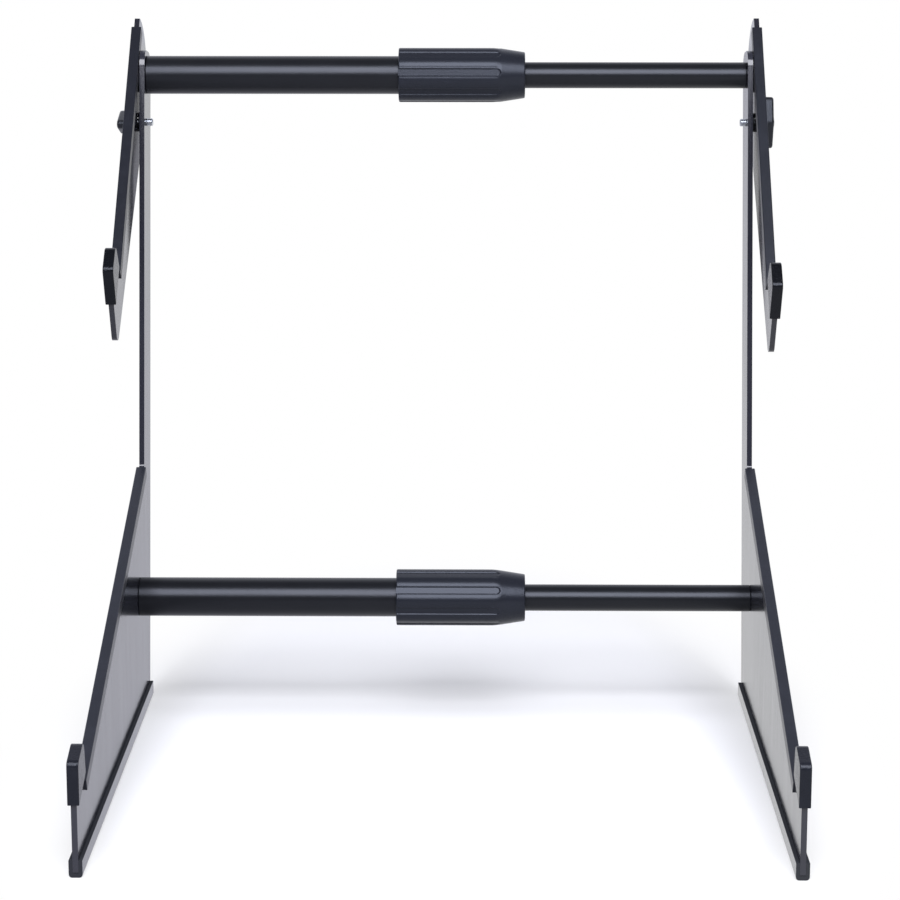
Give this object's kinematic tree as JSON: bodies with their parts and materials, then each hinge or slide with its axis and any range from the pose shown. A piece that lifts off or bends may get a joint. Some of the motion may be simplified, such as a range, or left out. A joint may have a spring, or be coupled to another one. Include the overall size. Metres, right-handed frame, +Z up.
{
  "type": "desktop equipment stand",
  "caption": "Desktop equipment stand with a slanted lower tray, tilting upper arms held by clamp knobs, telescopic width tubes with twist-lock collars, and rubber-covered edges.",
  "frame": {"origin": "on the floor, under the middle of the box of the whole stand", "axes": "+X from the left panel to the right panel, +Y from the front hooks to the back, +Z up"},
  "size_m": [0.4166, 0.3914, 0.4296],
  "materials": {
    "powder_coat": "satin black powder coat",
    "tube_coat": "satin black paint",
    "trim_rubber": "matt black rubber",
    "collar_plastic": "fine-grained dark slate plastic",
    "knob_plastic": "grained black plastic",
    "black_bolt": "black oxide",
    "zinc": "bright zinc plating",
    "washer_nylon": "black nylon",
    "inner_nylon": "dark grey nylon"
  },
  "bodies": {
    "left_side": {"left_panel": "powder_coat", "left_tray_trim": "trim_rubber", "left_hook_cap": "trim_rubber", "left_foot": "trim_rubber", "upper_outer_tube": "tube_coat", "lower_outer_tube": "tube_coat", "upper_left_plug": "inner_nylon", "lower_left_plug": "inner_nylon", "upper_ferrule": "inner_nylon", "lower_ferrule": "inner_nylon", "upper_collet": "inner_nylon", "lower_collet": "inner_nylon", "left_pivot_bolt": "black_bolt", "left_lower_bolt": "black_bolt", "left_friction_washer": "washer_nylon", "left_clamp_spacer": "washer_nylon"},
    "right_side": {"right_panel": "powder_coat", "right_tray_trim": "trim_rubber", "right_hook_cap": "trim_rubber", "right_foot": "trim_rubber", "upper_inner_tube": "tube_coat", "lower_inner_tube": "tube_coat", "upper_glide": "inner_nylon", "lower_glide": "inner_nylon", "upper_right_plug": "inner_nylon", "lower_right_plug": "inner_nylon", "right_pivot_bolt": "black_bolt", "right_lower_bolt": "black_bolt", "right_friction_washer": "washer_nylon", "right_clamp_spacer": "washer_nylon"},
    "upper_collar": {"upper_collar": "collar_plastic"},
    "lower_collar": {"lower_collar": "collar_plastic"},
    "left_arm": {"left_arm": "powder_coat", "left_arm_trim": "trim_rubber", "left_arm_cap": "trim_rubber"},
    "right_arm": {"right_arm": "powder_coat", "right_arm_trim": "trim_rubber", "right_arm_cap": "trim_rubber"},
    "left_knob": {"left_knob": "knob_plastic", "left_knob_stud": "zinc"},
    "right_knob": {"right_knob": "knob_plastic", "right_knob_stud": "zinc"}
  },
  "joints": [
    {"name": "width_slide", "type": "slide", "parent": "left_side", "child": "right_side", "axis": [1, 0, 0], "range_m": [-0.09, 0.048]},
    {"name": "upper_collar_twist", "type": "hinge", "parent": "left_side", "child": "upper_collar", "pos_m": [0, 0.1597, 0.394], "axis": [1, 0, 0], "range_deg": [0, 120]},
    {"name": "lower_collar_twist", "type": "hinge", "parent": "left_side", "child": "lower_collar", "pos_m": [0, 0.0709, 0.076], "axis": [1, 0, 0], "range_deg": [0, 120]},
    {"name": "left_arm_tilt", "type": "hinge", "parent": "left_side", "child": "left_arm", "pos_m": [-0.1967, 0.1597, 0.394], "axis": [1, 0, 0], "range_deg": [-29, 21]},
    {"name": "right_arm_tilt", "type": "hinge", "parent": "right_side", "child": "right_arm", "pos_m": [0.1967, 0.1597, 0.394], "axis": [1, 0, 0], "range_deg": [-33, 17]},
    {"name": "left_knob_turn", "type": "hinge", "parent": "left_side", "child": "left_knob", "pos_m": [-0.1967, 0.15449, 0.36446], "axis": [-1, 0, 0], "range_deg": [0, 270]},
    {"name": "right_knob_turn", "type": "hinge", "parent": "right_side", "child": "right_knob", "pos_m": [0.1967, 0.15449, 0.36446], "axis": [1, 0, 0], "range_deg": [0, 270]}
  ]
}
